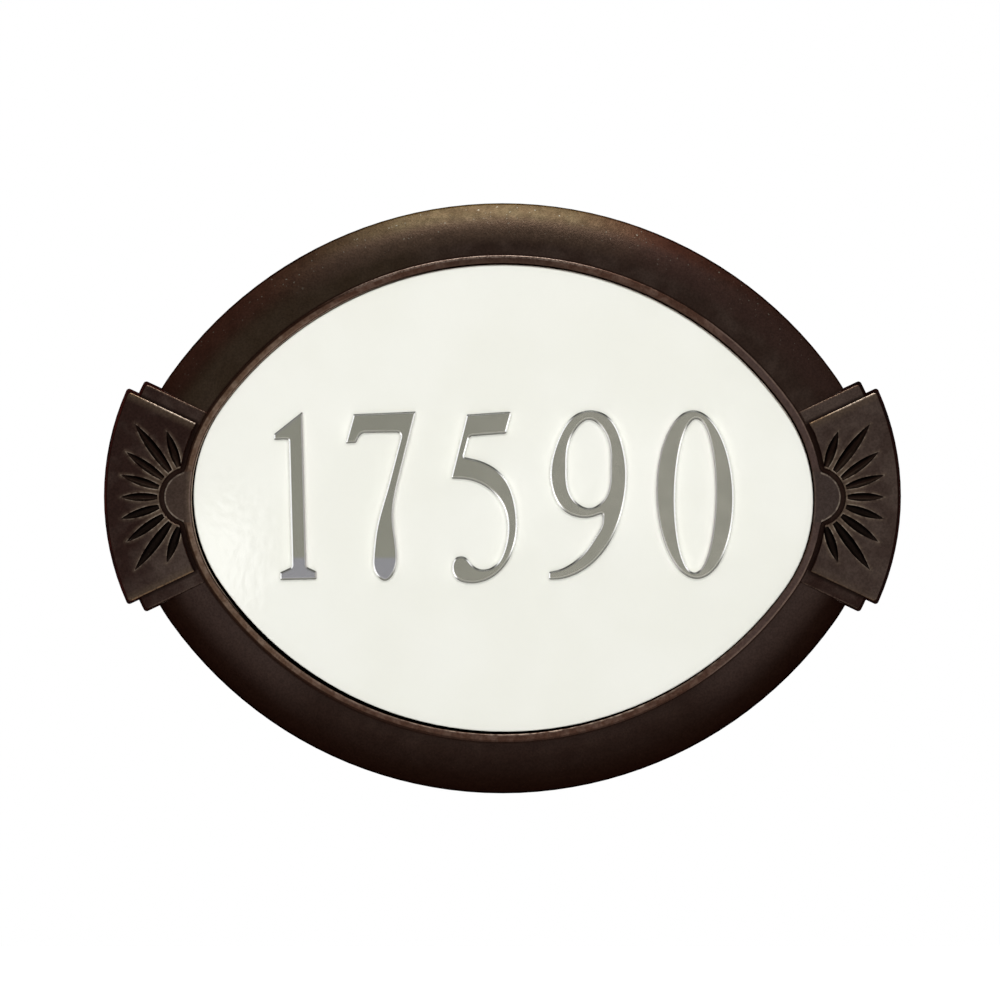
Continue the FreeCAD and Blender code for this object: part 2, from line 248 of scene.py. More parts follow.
# %% How far from the sun and from the blocks' sides
EAR_LIFT = 0.9
EAR_ANGLE = math.radians(25.2)
EAR_HALF_WIDTH = 1.5
EAR_STEP = 6.4
SUN_CENTRE = 140.2
SUN_RADIUS = 11.4
GROOVE = 2.0


def from_sun(paint):
    return ((abs(paint.x) - SUN_CENTRE) ** 2 + (paint.z - EAR_LIFT) ** 2).root()


def from_side_edge(paint, half_width):
    """How far a point lies outside an ear block's side edge; less than 0 on the block."""
    along = (abs(paint.x) - SIDE_CENTRE) * math.sin(EAR_ANGLE)
    return abs(paint.z - EAR_LIFT) * math.cos(EAR_ANGLE) - along - half_width


print("each ear fans out by", round(math.degrees(2 * EAR_ANGLE), 1), "degrees")

# %% [markdown]
# ## The rays
#
# Nine gouged rays stand round each sun, 17.8 degrees apart. A ray is narrow at its root, widest before
# its middle, and runs to a point. Ray by ray, this would take nine formulas for each ear. Here the angle
# round the sun is folded instead: it is divided by the step and rounded, which numbers the ray, and what
# is left over is the angle from that ray's own middle line. The upper and lower rays are alike, so five
# lengths and widths are enough.

# %% How far from the nearest ray
RAY_STEP = 17.8
RAY_START = 14.2
RAY_LENGTHS = [16.6, 17.9, 20.5, 26.6, 16.9]
RAY_WIDTHS = [3.8, 3.8, 4.0, 4.6, 4.2]
RAY_CREST = 0.42
ROOT_NARROWING = 0.5


def from_ray(paint):
    """How far a point lies outside the nearest ray of the sunburst; less than 0 inside it."""
    across = abs(paint.x) - SUN_CENTRE
    up = abs(paint.z - EAR_LIFT)
    turn = paint.math("ARCTAN2", up, across) * (180 / math.pi)
    number = paint.math("ROUND", turn / RAY_STEP).at_most(len(RAY_LENGTHS) - 1.0)
    from_middle = (turn - number * RAY_STEP) * (math.pi / 180)
    reach = from_sun(paint)
    along = reach * paint.math("COSINE", from_middle) - RAY_START
    aside = abs(reach * paint.math("SINE", from_middle))
    length = 0.0
    half_width = 0.0
    for index, (long, wide) in enumerate(zip(RAY_LENGTHS, RAY_WIDTHS)):
        this_one = paint.math("COMPARE", number, float(index), 0.5)
        length = this_one * long + length
        half_width = this_one * (wide / 2) + half_width
    crest = length * RAY_CREST
    before_crest = (1 - along / crest).at_least(0.0).at_most(1.0)
    after_crest = ((along - crest) / (length - crest)).at_least(0.0)
    half = half_width * (1 - ROOT_NARROWING * before_crest ** 2 - after_crest ** 2)
    return (aside - half).at_least(along - length).at_least(-along)


print("rays, in mm:", list(zip(RAY_LENGTHS, RAY_WIDTHS)))

# %% [markdown]
# ## The bronze coating
#
# The casting has a dark rubbed-bronze coating, a thin metallic paint: mottled brown, and rubbed through
# to copper where hands and cloth reach it. A single brown would look like plastic. So it is built from
# the undercoat up. First comes a mottled ground. Then come painted shade and sheen, and the rays'
# grooves, painted nearly black as shade, with dark lines along the seams. Last come worn edges, some with
# a painted highlight. Each is laid over the last by a mask. The patterns that several of these layers
# share come first, at the sizes that the photograph shows: mottling, patches, flecks and fine grain.

# %% The coating's lines and patterns
LIP_OUTSIDE = 4.58

bronze = Paint("bronze_casting")
outside = from_plate_edge(bronze)
sun_distance = from_sun(bronze)
ray_distance = from_ray(bronze)
left_half, right_half = bronze.x < 0, bronze.x > 0
upper_half, lower_half = bronze.z > 0, bronze.z < 0
below_face = -bronze.upward

mottle = bronze.noise(9.0, 3.0).ramp(0.35, 0.7)
patches = bronze.noise(4.0)
flecks = bronze.noise(2.6, 3.0).ramp(0.40, 0.60)
grain = bronze.noise(0.9)
scuffed = grain.ramp(0.35, 0.6)
print("nodes in the coating's patterns:", len(bronze.tree.nodes))

# %% [markdown]
# ## The ring where it faces the front
#
# The flat of the ring is brown. Painted shade darkens it towards its foot, a painted sheen lightens the
# low left and right side, and an olive tinge is painted at the upper left, where the light falls off.
# Lamps could do part of this, but they would also light the plate, so these slow changes of light are
# painted into the coating itself.

# %% Ring, facing front
UMBER, LIGHT_UMBER = (0.0225, 0.0135, 0.0102), (0.033, 0.0215, 0.0168)
LOWER_SHADE_BROWN = (0.0150, 0.0088, 0.0070)
LOW_SIDE_SHEEN = (0.033, 0.0215, 0.0180)
OLIVE_FALLOFF_TINT = (0.025, 0.0170, 0.0090)

low_side = abs(bronze.x).ramp(80, 105) * lower_half
upper_left = bronze.x.ramp(-10, -60) * bronze.z.ramp(20, 50)
flat_tone_and_light = bronze.mix(UMBER, LIGHT_UMBER, mottle)
# Painted shade towards the foot, painted sheen on the low sides, olive tinge where the light falls off.
flat_tone_and_light = bronze.mix(flat_tone_and_light, LOWER_SHADE_BROWN, bronze.z.ramp(0, -60), most=0.75)
flat_tone_and_light = bronze.mix(flat_tone_and_light, LOW_SIDE_SHEEN, low_side, most=0.8)
flat_tone_and_light = bronze.mix(flat_tone_and_light, OLIVE_FALLOFF_TINT, upper_left, most=0.6)
print("nodes with the ring's flat:", len(bronze.tree.nodes))

# %% [markdown]
# ## The ring where it slopes
#
# The ring's moulding curves away from the eye. Its lower side is painted nearly black as shade. The side
# that faces up gets a painted golden sheen, strongest at the top middle under the lamp overhead. Which
# way the surface faces tells these apart, so the colours follow the normal, and not a drawn line. Between
# them and the flat lies a lighter slope, a painted sheen as well.

# %% Ring, sloping
DARK_SLOPE, SLOPE = (0.0160, 0.0068, 0.0044), (0.0215, 0.0105, 0.0070)
UNDERSIDE_SHADE = (0.0085, 0.0038, 0.0026)
RED_SHEEN, GOLD_SHEEN = (0.031, 0.0130, 0.0090), (0.035, 0.026, 0.0150)
RED_SLOPE_SHEEN, GOLD_SLOPE_SHEEN = (0.027, 0.0150, 0.0120), (0.038, 0.0245, 0.0170)

beyond_lip = outside > LIP_OUTSIDE
facing_down = below_face.ramp(0.0, 0.32)
facing_up = bronze.upward.ramp(0.16, 0.52) * beyond_lip
near_top = bronze.x.ramp(-125, -45) * bronze.x.ramp(80, 25)
tilted = bronze.mix(DARK_SLOPE, SLOPE, mottle)
# Painted shade: the side that faces down is nearly black.
tilted = bronze.mix(tilted, UNDERSIDE_SHADE, facing_down, most=0.9)
# Painted sheen: the side that faces up is golden, most of all at the top middle.
up_sheen = bronze.mix(RED_SHEEN, GOLD_SHEEN, near_top)
tilted = bronze.mix(tilted, up_sheen, facing_up * mottle.between(0.75, 1.0))
flat_share = bronze.forward.ramp(0.84, 0.97) * (1 - facing_up) * facing_down.between(1.0, 0.4)
colour = bronze.mix(tilted, flat_tone_and_light, flat_share)
# Painted sheen on the lighter slope between the upward side and the flat.
upper_slope = bronze.upward.ramp(0.12, 0.30) * bronze.upward.ramp(0.60, 0.42)
upper_slope = upper_slope * bronze.x.ramp(-105, -65) * beyond_lip
slope_sheen = bronze.mix(RED_SLOPE_SHEEN, GOLD_SLOPE_SHEEN, near_top)
colour = bronze.mix(colour, slope_sheen, upper_slope, most=0.9)
print("nodes with the ring's slopes:", len(bronze.tree.nodes))

# %% [markdown]
# ## The ears' blocks
#
# The tops of the ears' blocks are flat. The right ear and the lower outer part of the left one are a
# lighter brown, and the rest is dark. The back block is lighter above the ear's middle and darker below
# it. Height and the distance from the blocks' edges pick out the two tops, and one number, how light a
# spot is, mixes two browns.

# %% Ear blocks
BACK_TOP, FRONT_TOP = 17.0, 19.4
DARK_BLOCK_BROWN, LIGHT_BLOCK_BROWN = (0.0190, 0.0100, 0.0080), (0.050, 0.0350, 0.0285)

front_edge = from_side_edge(bronze, EAR_HALF_WIDTH)
back_edge = from_side_edge(bronze, EAR_HALF_WIDTH + EAR_STEP)
on_ear = outside > LIP_OUTSIDE + 1.0
on_front = (bronze.out > FRONT_TOP - 0.8) * on_ear
on_back = (bronze.out > BACK_TOP - 0.4) * on_ear * (front_edge > 0)
# The block tops are lighter at the right ear and at the lower outer left, and darker elsewhere.
low_left = bronze.z.ramp(15, -38) * bronze.x.ramp(-174, -146) * left_half
block_lightness = right_half * 0.75 + low_left + mottle.between(-0.25, 0.25)
block_lightness = block_lightness + on_back * bronze.z.ramp(-10, 10).between(-0.5, 0.3)
block_lightness = block_lightness.at_least(0.0).at_most(1.0)
block_colour = bronze.mix(DARK_BLOCK_BROWN, LIGHT_BLOCK_BROWN, block_lightness)
block_tops = on_front.at_least(on_back) * bronze.forward.ramp(0.90, 0.985)
colour = bronze.mix(colour, block_colour, block_tops)
print("nodes with the ears' blocks:", len(bronze.tree.nodes))

# %% [markdown]
# ## The blocks' worn edges
#
# Along its edge a block is worn first in a wide brown band and then in a thin bright line, where bare
# metal shows. Both are weaker at the lower right. On the upper edges this line, and the back block's line
# too, carries a painted highlight, as if it caught the light from above. The line breaks up into flecks,
# so the grain cuts into it. In the corner of the step between the blocks a dark line is painted. Blender
# can find edges by itself with a bevel or pointiness node, but that would treat all edges alike, and here
# the upper edges are far brighter than the lower right ones.

# %% Worn edges and the dirt in the step
BAND_BROWN = (0.066, 0.046, 0.031)
WORN_LINE, BARE_LINE_HIGHLIGHT = (0.12, 0.075, 0.042), (0.29, 0.23, 0.18)
STEP_DARK = (0.0090, 0.0050, 0.0038)
BACK_LINE_HIGHLIGHT = (0.085, 0.058, 0.042)
LINE_FROM, LINE_TO = -0.9, -0.3

low_right = right_half * lower_half
edge_band = on_front * front_edge.ramp(-4.5, -0.8)
colour = bronze.mix(colour, BAND_BROWN, edge_band * low_right.between(0.6, 0.25))
# Painted highlight: the edge line is brightest on the upper edges.
highlit_left = abs(bronze.x).ramp(168, 150) * left_half
highlit_right = bronze.x.ramp(140, 158)
line_colour = bronze.mix(WORN_LINE, BARE_LINE_HIGHLIGHT, highlit_left.at_least(highlit_right) * upper_half)
edge_line = on_front * front_edge.ramp(LINE_FROM, LINE_TO) * low_right.between(1.0, 0.3)
colour = bronze.mix(colour, line_colour, edge_line * scuffed.between(0.35, 0.95))
# A dark line painted in the corner of the step.
colour = bronze.mix(colour, STEP_DARK, on_back * front_edge.ramp(2.0, 0.6), most=0.8)
# Painted highlight: the back block's edge line is stronger on the upper half.
back_line = on_back * back_edge.ramp(LINE_FROM, LINE_TO) * upper_half.between(0.4, 1.0)
colour = bronze.mix(colour, BACK_LINE_HIGHLIGHT, back_line * scuffed.between(0.3, 1.0))
print("nodes with the worn edges:", len(bronze.tree.nodes))

# %% [markdown]
# ## The sunburst
#
# Between the rays the block's face is left as narrow lands, rubbed light, and most of all near the sun,
# with bare flecks along the rays' rims. The rays themselves are painted dark as shade. They are black on
# the walls that face down and in the lower rays, and brown, as if lit from above, on the walls that face
# up. The distance from the nearest ray gives lands, rims and floors in turn, which a noise texture alone
# could never line up with the carving.

# %% Lands and rays
LAND_BROWN = (0.092, 0.066, 0.046)
BARE_RIM = (0.20, 0.16, 0.125)
RAY_SHADE, RAY_LIT_WALL = (0.0100, 0.0050, 0.0036), (0.040, 0.026, 0.0185)
RAY_UNDER_SHADE = (0.0040, 0.0026, 0.0020)
LOWER_RAY_SHADE = (0.0045, 0.0032, 0.0026)
SLOT_BLACK = (0.0075, 0.0034, 0.0026)

near_sun = sun_distance.ramp(27, 15)
on_land = on_ear * (bronze.out > FRONT_TOP - 0.2)
land = on_land * ray_distance.ramp(1.9, 0.2)
colour = bronze.mix(colour, LAND_BROWN, land * (0.10 + 0.3 * flecks + 0.6 * near_sun))
ray_rim = on_land * ray_distance.ramp(0.5, 0.2)
colour = bronze.mix(colour, BARE_RIM, ray_rim * flecks * near_sun.between(0.35, 0.85))
in_ray = (front_edge < 0) * on_ear * (bronze.forward > 0) * ray_distance.ramp(0.1, -0.3)
# Painted light and shade: brown where a ray's wall faces up, black where it faces down and in the lower
# rays.
ray_shading = bronze.mix(RAY_SHADE, RAY_LIT_WALL, bronze.upward.ramp(0.05, 0.45))
ray_shading = bronze.mix(ray_shading, RAY_UNDER_SHADE, below_face.ramp(0.0, 0.3))
ray_shading = bronze.mix(ray_shading, LOWER_RAY_SHADE, (bronze.z - EAR_LIFT).ramp(2, -8), most=0.8)
colour = bronze.mix(colour, ray_shading, in_ray, most=0.95)
slot = (front_edge < 0) * (outside > LIP_OUTSIDE - 0.4) * (bronze.out < BACK_TOP + 0.6)
colour = bronze.mix(colour, SLOT_BLACK, slot * outside.ramp(9.0, 8.0), most=0.9)
print("nodes with the sunburst:", len(bronze.tree.nodes))

# %% [markdown]
# ## The suns
#
# The half-disc in each ear runs on into the lip, and is rubbed lighter than it. The left one turns to
# copper towards the plate, and both have a bright line at their inner end. Since sun and lip are one
# surface here, no edge of the mesh parts them: the mask is the disc, and beside it a soft stretch of lip.

# %% Suns
SUN_BROWN, SUN_COPPER = (0.043, 0.029, 0.0225), (0.075, 0.052, 0.038)
RIGHT_SUN_BROWN = (0.040, 0.029, 0.0255)
SUN_BRIGHT = (0.150, 0.105, 0.085)
SUN_BLEND = 4.0

on_disc = sun_distance < SUN_RADIUS
beside_sun = abs(bronze.z - EAR_LIFT).ramp(SUN_RADIUS + SUN_BLEND, SUN_RADIUS - SUN_BLEND)
beside_sun = beside_sun * (outside < LIP_OUTSIDE + 1.0)
sun_face = on_disc.at_least(beside_sun)
sun_colour = bronze.mix(SUN_BROWN, SUN_COPPER, outside.ramp(4.0, 1.6) * left_half)
sun_colour = bronze.mix(sun_colour, RIGHT_SUN_BROWN, right_half, most=0.8)
sun_colour = bronze.mix(sun_colour, SUN_BRIGHT, outside.ramp(1.9, 1.3) * left_half.between(0.4, 1.0))
colour = bronze.mix(colour, sun_colour, sun_face * mottle.between(0.78, 0.98))
print("nodes with the suns:", len(bronze.tree.nodes))

# %% [markdown]
# ## The lip
#
# The raised lip round the plate is what a cloth rubs most. It is patchy copper on the left, brown in the
# middle, greyer on the right, and dark at the top. One material in four colours, chosen by how far left
# or right a point lies, does this with soft changes; four separate materials would meet in hard seams.

# %% Lip
LIP_BROWN, LIP_RED_BROWN = (0.052, 0.026, 0.0175), (0.083, 0.049, 0.036)
COPPER, BRIGHT_COPPER = (0.082, 0.048, 0.031), (0.122, 0.082, 0.058)
LIP_GREY_BROWN = (0.055, 0.037, 0.033)
LIP_TOP_BROWN = (0.033, 0.020, 0.015)

blotched = patches.ramp(0.42, 0.66)
top_middle = abs(bronze.x).ramp(42, 12) * upper_half
lip = (outside < LIP_OUTSIDE) * (bronze.out > BACK_TOP) * (1 - sun_face)
copper = bronze.mix(COPPER, BRIGHT_COPPER, blotched)
lip_colour = bronze.mix(LIP_BROWN, LIP_RED_BROWN, blotched)
lip_colour = bronze.mix(lip_colour, copper, bronze.x.ramp(-60, -115))
lip_colour = bronze.mix(lip_colour, LIP_GREY_BROWN, bronze.x.ramp(85, 115), most=0.8)
lip_colour = bronze.mix(lip_colour, LIP_TOP_BROWN, top_middle, most=0.7)
colour = bronze.mix(colour, lip_colour, lip)
print("nodes with the lip:", len(bronze.tree.nodes))

# %% [markdown]
# ## The lip's edges
#
# A rubbed lip shows bare metal along its two edges, but not all the way round: the inner edge is rubbed
# to copper at the left, and the outer one is bright at the right. The inner edge at the bottom and the
# outer one at the top get a painted highlight, where they face the light from above. At the bottom the
# outer edge gets a painted shadow under the lip, and at the left it is painted dark. Each of these is the
# same kind of mask, a thin stretch of the distance from the plate, times where on the oval it holds.

# %% The lip's inner edge
LIP_INSIDE = 0.98
INNER_EDGE_BROWN, INNER_EDGE_COPPER = (0.050, 0.030, 0.022), (0.140, 0.093, 0.070)
INNER_LINE_HIGHLIGHT = (0.22, 0.165, 0.13)

edge_colour = bronze.mix(INNER_EDGE_BROWN, INNER_EDGE_COPPER, bronze.x.ramp(-40, -90))
inner_edge = lip * outside.ramp(LIP_INSIDE + 1.2, LIP_INSIDE + 0.3)
colour = bronze.mix(colour, edge_colour, inner_edge * blotched.between(0.4, 0.9))
# Painted highlight along the inner edge at the bottom, which faces up.
inner_highlight = lip * outside.ramp(LIP_INSIDE + 1.0, LIP_INSIDE + 0.3) * bronze.z.ramp(-40, -95)
inner_highlight = inner_highlight * bronze.x.ramp(-45, 15).between(0.35, 0.70)
colour = bronze.mix(colour, INNER_LINE_HIGHLIGHT, inner_highlight * bronze.noise(3.0).ramp(0.35, 0.65))
print("nodes with the lip's inner edge:", len(bronze.tree.nodes))

# %% The lip's outer edge
TOP_LINE_HIGHLIGHT = (0.14, 0.105, 0.085)
RIGHT_LINE = (0.125, 0.085, 0.066)
LEFT_DARK_EDGE = (0.0130, 0.0055, 0.0032)
LOW_SHADOW = (0.020, 0.010, 0.007)

# Painted highlight along the outer edge at the top.
top_highlight = lip * outside.ramp(LIP_OUTSIDE - 1.4, LIP_OUTSIDE - 0.9)
top_highlight = top_highlight * abs(bronze.x + 15).ramp(72, 40) * upper_half
colour = bronze.mix(colour, TOP_LINE_HIGHLIGHT, top_highlight * scuffed.between(0.2, 0.8))
right_line = lip * outside.ramp(LIP_OUTSIDE - 1.1, LIP_OUTSIDE - 0.5)
right_line = right_line * bronze.x.ramp(85, 105) * abs(bronze.z).ramp(16, 28)
colour = bronze.mix(colour, RIGHT_LINE, right_line, most=0.8)
# The outer edge at the left is painted dark.
left_dark_edge = lip * outside.ramp(LIP_OUTSIDE - 1.5, LIP_OUTSIDE - 0.9)
left_dark_edge = left_dark_edge * bronze.x.ramp(0, -50) * bronze.z.ramp(100, 84)
colour = bronze.mix(colour, LEFT_DARK_EDGE, left_dark_edge, most=0.95)
# Painted shadow under the lip along the outer edge at the bottom.
low_shadow = lip * outside.ramp(LIP_OUTSIDE - 1.2, LIP_OUTSIDE - 0.7) * bronze.z.ramp(-75, -95)
colour = bronze.mix(colour, LOW_SHADOW, low_shadow, most=0.65)
sun_rim = on_disc * beyond_lip * sun_distance.ramp(SUN_RADIUS - 1.1, SUN_RADIUS - 0.4)
colour = bronze.mix(colour, BARE_RIM, sun_rim * flecks.between(0.35, 0.95))
print("nodes with the lip's outer edge:", len(bronze.tree.nodes))

# %% [markdown]
# ## Gap, seam and groove
#
# Between plate and lip runs a gap about a millimetre wide. Along most of the upper and right side light
# reaches its floor through the plate's edge, and elsewhere it is black. The depth of the modelled gap is
# a guess, so its brightness is painted on the floor to match, rather than left to how deep the light
# gets. The seam outside the lip and the groove round each sun are painted dark.

# %% Gap, seam and groove
GAP_BLACK = (0.0, 0.0, 0.0)
GAP_RIGHT, GAP_LEFT = (0.65, 0.55, 0.46), (0.45, 0.33, 0.25)
SEAM_DARK = (0.014, 0.007, 0.005)

on_left = bronze.x.ramp(-20, -100)
not_low = bronze.z.ramp(-55, -30)
in_gap = (outside < LIP_INSIDE + 0.1) * (bronze.out < BACK_TOP + 0.6) * (bronze.forward > 0.5)
gap_colour = bronze.mix(GAP_BLACK, GAP_RIGHT, (outside < 0.40) * (1 - on_left) * not_low)
gap_colour = bronze.mix(gap_colour, GAP_LEFT, (outside > 0.50) * on_left * not_low)
colour = bronze.mix(colour, gap_colour, in_gap)
in_hollow_line = bronze.out < BACK_TOP + 0.4
# The seam outside the lip and the groove round each sun are painted dark.
seam = outside.ramp(LIP_OUTSIDE + 1.0, LIP_OUTSIDE + 0.2) * (outside > LIP_OUTSIDE - 0.5)
groove = (sun_distance < SUN_RADIUS + GROOVE + 0.3) * beyond_lip
colour = bronze.mix(colour, SEAM_DARK, seam.at_least(groove) * in_hollow_line, most=0.8)
print("nodes with the gap and the grooves:", len(bronze.tree.nodes))

# %% [markdown]
# ## Specks, sides and back
#
# Pale specks on the upper slope, where it faces up, are painted glints, and the fine grain darkens the
# whole coating a little. The outer side of the casting is reddish, most of all at the left. The hollow
# back is bare, dull and light: no photograph shows it, so it is kept plain. A second material on the
# back's faces could do this, but the solid is one node with one slot, and the normal and the depth tell
# back from front just as well.

# %% Specks, sides and back
SPECK_GLINT = (0.085, 0.078, 0.062)
GRAIN_BLACK = (0.0, 0.0, 0.0)
SIDE_BROWN, SIDE_RED = (0.0120, 0.0065, 0.0055), (0.075, 0.014, 0.011)
BACK_GREY_BROWN = (0.135, 0.100, 0.084)
RECESS_FLOOR = 12.5
RING_WIDTH = 28.2

# Painted glints: pale specks where the coating faces up.
glint_specks = facing_up * bronze.noise(1.0, 0.0).ramp(0.78, 0.83)
colour = bronze.mix(colour, SPECK_GLINT, glint_specks)
colour = bronze.mix(colour, GRAIN_BLACK, grain.ramp(0.62, 0.36), most=0.22)
side = bronze.forward.ramp(0.45, 0.15) * (outside > LIP_INSIDE + 0.6) * (bronze.forward > -0.5)
reddish = bronze.noise(16.0).ramp(0.30, 0.70) * bronze.x.ramp(0, -120).between(0.35, 1.0)
colour = bronze.mix(colour, bronze.mix(SIDE_BROWN, SIDE_RED, reddish), side)
inner_walls = (bronze.forward < 0.3) * (bronze.out < RECESS_FLOOR - 1.0)
inner_walls = inner_walls * (outside < RING_WIDTH - 1.7)
hollow = inner_walls.at_least((-bronze.forward).ramp(0.3, 0.6))
colour = bronze.mix(colour, BACK_GREY_BROWN, hollow)
print("nodes with specks, sides and back:", len(bronze.tree.nodes))

# %% [markdown]
# ## The coating's shine
#
# The coating shines like metal from the front and like dull paint on its sides, so Metallic follows the
# way the surface faces. The Principled shader adds a pale, mirror-like coat of its own at grazing
# angles. On this coating it would lay a white veil over the dark brown, so it is turned off and its tint
# kept dark. The grain feeds a slight bump, which breaks up the reflection of the lamp overhead.

# %% Finish of the bronze
coating = bronze.finish(
    Base_Color=colour,
    Metallic=bronze.forward.ramp(0.10, 0.40),
    Roughness=patches.ramp(0.3, 0.7).between(0.34, 0.46),
    Normal=bronze.bump(grain, strength=0.25, distance=0.0003),
    Specular_Tint=(0.10, 0.08, 0.07),
    Specular_IOR_Level=0.0,
)
wear("surround", coating)

# %% [markdown]
# ## The ivory plate
#
# The plate is sheet metal under glossy ivory enamel. Enamel is never quite even: it has faint clouds of
# colour some centimetres wide, and it lies in shallow waves that bend the reflections. Two ivories mixed
# by a wide noise and a very weak bump do both. Displacing the mesh would do the waves as well, but would
# take many more faces for something so shallow.

# %% Ivory
IVORY, PALE_IVORY = (0.825, 0.825, 0.748), (0.845, 0.845, 0.775)

ivory = Paint("ivory_enamel")
clouds = ivory.noise(45.0).ramp(0.35, 0.65)
enamel = ivory.finish(
    Base_Color=ivory.mix(IVORY, PALE_IVORY, clouds),
    Roughness=0.06,
    Normal=ivory.bump(ivory.noise(4.0, 1.0), strength=0.08, distance=0.0003),
)
wear("face_plate", enamel)

# %% [markdown]
# ## The figures
#
# The five figures are polished zinc with a satin face and rounded, brighter edges. A perfect mirror
# would show this plain studio, which isn't the one in the photograph, so the edges are given the tones
# that they mirror there: white on the side away from the plaque's middle, grey on the side towards it,
# dark where they face down. The normal decides, so every curve of a figure gets the right tone without
# a mask of its own. The top edges are nearly black just where they mirror the lamp, which would
# otherwise burn out.

# %% The tones of a figure
FACE_LEFT, FACE_RIGHT = (0.210, 0.208, 0.172), (0.264, 0.257, 0.216)
FACE_BLOTCH = (0.200, 0.197, 0.163)
FOOT_REFLECTION = (0.222, 0.220, 0.230)
EDGE_WHITE = (0.98, 0.98, 0.97)
INWARD_PALE, INWARD_GREY = (0.72, 0.66, 0.69), (0.30, 0.29, 0.27)
LOW_DARK, LOW_GREY = (0.125, 0.122, 0.110), (0.205, 0.203, 0.180)
TOP_GREY, TOP_UNDER_LAMP = (0.20, 0.20, 0.185), (0.018, 0.018, 0.016)
FOOT_BLEND = 0.8


def figure_face(paint, foot_below):
    """The satin face, a painted reflection: darker to the left, a little bluer below the given height if
    any.
    """
    blotch = paint.noise(12.0, 3.0).ramp(0.35, 0.65)
    # Painted reflection: the face is darker to the left.
    face = paint.mix(FACE_LEFT, FACE_RIGHT, paint.x.ramp(-60, 60))
    face = paint.mix(face, FACE_BLOTCH, blotch, most=0.35)
    if foot_below is not None:
        # Painted reflection: the foot is a little bluer.
        foot_reflection = paint.z.ramp(foot_below + FOOT_BLEND, foot_below - FOOT_BLEND)
        face = paint.mix(face, FOOT_REFLECTION, foot_reflection)
    return face


def figure_edge(paint):
    """The polished edge, in the tones that it mirrors in the photograph's studio."""
    tilt = (paint.sideways ** 2 + paint.upward ** 2).root().at_least(0.02)
    rise = paint.upward / tilt
    fall = 0.3 * (paint.sideways > 0) - rise
    inward = (paint.sideways * paint.x < 0) * abs(paint.x).ramp(20, 60)
    under_lamp = paint.forward.ramp(0.90, 0.82) * paint.forward.ramp(0.50, 0.64)
    inward_edge = paint.mix(INWARD_PALE, INWARD_GREY, paint.forward.ramp(0.40, 0.65))
    lower_edge = paint.mix(LOW_DARK, LOW_GREY, paint.forward.ramp(0.5, 0.9))
    upper_edge = paint.mix(TOP_GREY, TOP_UNDER_LAMP, under_lamp)
    edge = paint.mix(EDGE_WHITE, inward_edge, inward, most=0.9)
    edge = paint.mix(edge, lower_edge, fall.ramp(0.55, 0.85))
    return paint.mix(edge, upper_edge, rise.ramp(0.55, 0.85))


print("a figure's edge has", len((EDGE_WHITE, INWARD_GREY, LOW_GREY, TOP_GREY)), "main tones")

# %% [markdown]
# ## The figures' material
#
# Face and edge are one piece of metal, so one material blends them where the surface turns away from the
# front. The feet of the one and the seven get a painted reflection that makes them a little bluer, which
# is why there are two versions: with and without a foot.

# %% Figures
FIGURES = ("one", "seven", "five", "nine", "zero")
FOOTED = ("one", "seven")
FOOT_TOP = -26.3


def figure_paint(name, foot_below=None):
    paint = Paint(name)
    face, edge = figure_face(paint, foot_below), figure_edge(paint)
    whole = paint.mix(edge, face, paint.forward.ramp(0.93, 0.985))
    return paint.finish(Base_Color=whole, Metallic=1.0, Roughness=0.24)


plain = figure_paint("numeral_metal")
footed = figure_paint("numeral_metal_foot_reflection", FOOT_TOP)
for figure in FIGURES:
    wear("numeral_" + figure, footed if figure in FOOTED else plain)

# %% [markdown]
# ## Tape, pads and studs
#
# Dark foam tape holds the plate in its recess, a clear pad of adhesive holds each figure, and four
# steel studs hold the plaque on the wall. Tape and pads are covered once the plaque is put together,
# and the studs go into the wall, so each gets one even colour and the roughness of its kind: matt foam,
# waxy adhesive and plain rolled steel.

# %% Tape, pads and studs
FOAM, ADHESIVE, STEEL = (0.05, 0.05, 0.05), (0.70, 0.70, 0.66), (0.42, 0.42, 0.41)

foam = Paint("foam_tape").finish(Base_Color=FOAM, Roughness=0.9)
wear("plate_tape", foam)
adhesive = Paint("adhesive_pad").finish(Base_Color=ADHESIVE, Roughness=0.5)
for figure in FIGURES:
    wear("pad_" + figure, adhesive)
steel = Paint("stud_steel").finish(Base_Color=STEEL, Metallic=1.0, Roughness=0.35)
wear("mounting_studs", steel)

# %% [markdown]
# ## The white surround
#
# The photograph has a pure white ground, but a studio that bright all round would wash out the dark
# coating. So the world is white for what looks at it directly or in a reflection, and dimmer as a lamp.
# The Light Path node tells these rays apart. A backdrop lit until it is white would do the same at the
# cost of stray light on the object.

# %% World
LIGHT_GIVEN = 0.25
LIGHT_SEEN = 1.0
WHITE = (1.0, 1.0, 1.0)


def seen_by(recipe, kind, *kinds):
    """1 for the named kinds of ray, and 0 for all others."""
    rays = recipe.add("ShaderNodeLightPath", {}, {})
    seen = rays.part(kind)
    for other in kinds:
        seen = seen.at_least(rays.part(other))
    return seen


world = bpy.data.worlds.new("plain_studio")
bpy.context.scene.world = world
world.use_nodes = True
studio = Recipe(world.node_tree)
background = world.node_tree.nodes["Background"]
in_view = seen_by(studio, "Is Camera Ray", "Is Glossy Ray", "Is Transmission Ray")
studio.put(background.inputs["Color"], WHITE)
studio.put(background.inputs["Strength"], in_view.between(LIGHT_GIVEN, LIGHT_SEEN))
print("the world gives", LIGHT_GIVEN, "and shows", LIGHT_SEEN)

# %% [markdown]
# ## The lamps
#
# Three soft lamps do what the photographer's lights did. A large one in front lights everything evenly
# and is kept out of reflections, because it would show as a white sheet in the enamel. A large one
# overhead does the opposite: it lights nothing, and only gives the glow on the upper slopes. A tiny
# window at the left makes the glare at the plate's left end. One lamp for all three jobs could be set
# right for one of them only.

